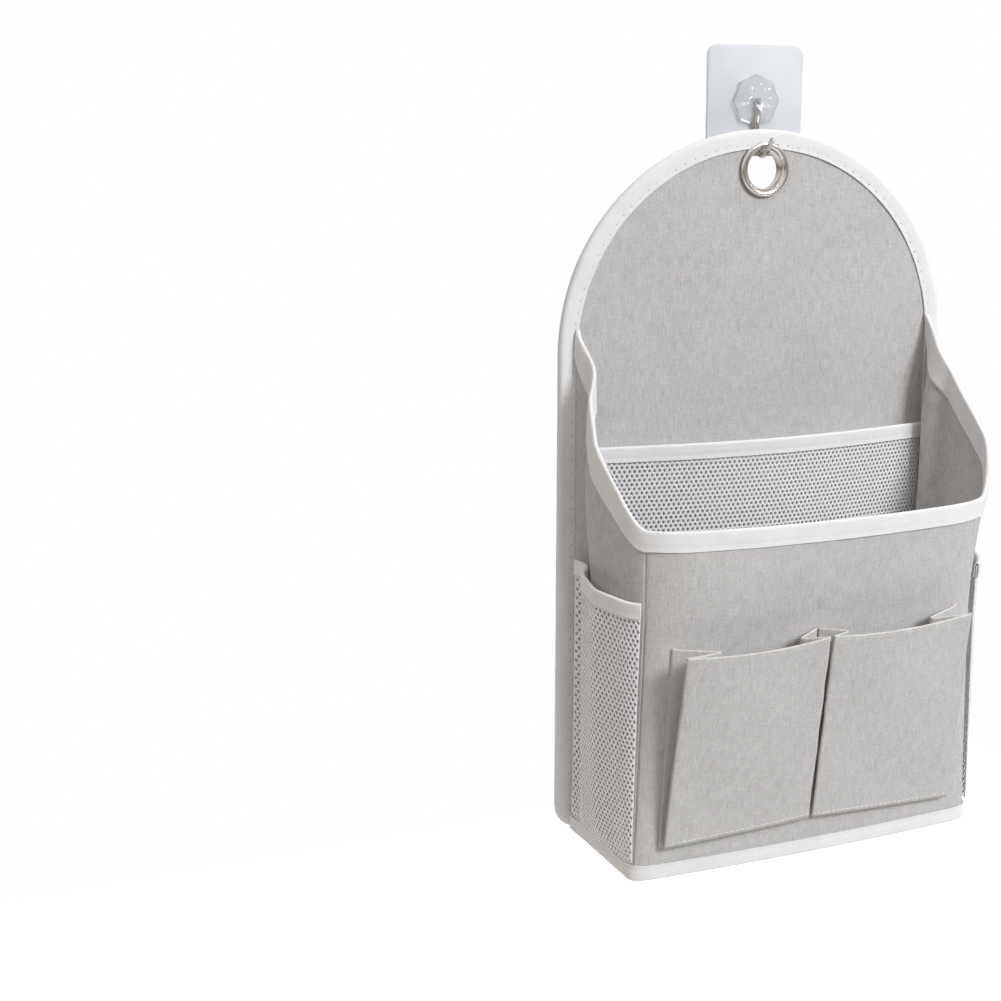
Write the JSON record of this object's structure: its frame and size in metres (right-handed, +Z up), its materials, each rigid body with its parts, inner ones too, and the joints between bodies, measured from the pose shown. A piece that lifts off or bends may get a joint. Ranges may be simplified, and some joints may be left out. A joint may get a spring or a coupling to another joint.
{
  "type": "bedside caddy",
  "caption": "Wall-hung fabric bedside caddy with an arched back, open top, net side pockets and pleated front pockets, hung by an eyelet from a clear stick-on hook.",
  "frame": {"origin": "centre of the hook's glued face, on the wall", "axes": "+Y into the wall, +Z up, +X to the right seen from the front"},
  "size_m": [0.256, 0.1058, 0.45],
  "materials": {
    "grey_cloth": "heathered grey linen-look cloth",
    "white_tape": "woven white binding tape",
    "white_net": "soft white net",
    "lining": "plain grey lining",
    "stiff_board": "matt stiffener board",
    "nickel": "bright nickel",
    "steel_wire": "polished steel wire",
    "clear_plastic": "clear, glossy",
    "glue_pad": "clear glue pad"
  },
  "bodies": {
    "hook": {"wall_pad": "glue_pad", "hook_plate": "clear_plastic", "hook_boss": "clear_plastic", "hook_wire": "steel_wire"},
    "eyelet": {"eyelet_ring": "nickel", "eyelet_washer": "nickel"},
    "bag": {"back_panel_cloth": "grey_cloth", "back_board": "stiff_board", "back_lining": "lining", "edge_binding": "white_tape", "left_side_panel": "grey_cloth", "front_panel": "grey_cloth", "right_side_panel": "grey_cloth", "mouth_binding": "white_tape", "bottom_binding": "white_tape", "bottom_panel": "grey_cloth", "bottom_board": "stiff_board", "inner_pocket_net": "white_net", "inner_pocket_binding": "white_tape", "left_pocket_net": "white_net", "left_pocket_binding": "white_tape", "right_pocket_net": "white_net", "right_pocket_binding": "white_tape", "front_pocket_left": "grey_cloth", "front_pocket_right": "grey_cloth"}
  },
  "joints": [
    {"name": "lift_off", "type": "slide", "parent": "hook", "child": "eyelet", "axis": [0, -0.5736, 0.8192], "range_m": [0, 0.06]},
    {"name": "swing", "type": "hinge", "parent": "eyelet", "child": "bag", "pos_m": [0, -0.01215, -0.038], "axis": [0, 1, 0], "range_deg": [-30, 30]}
  ]
}
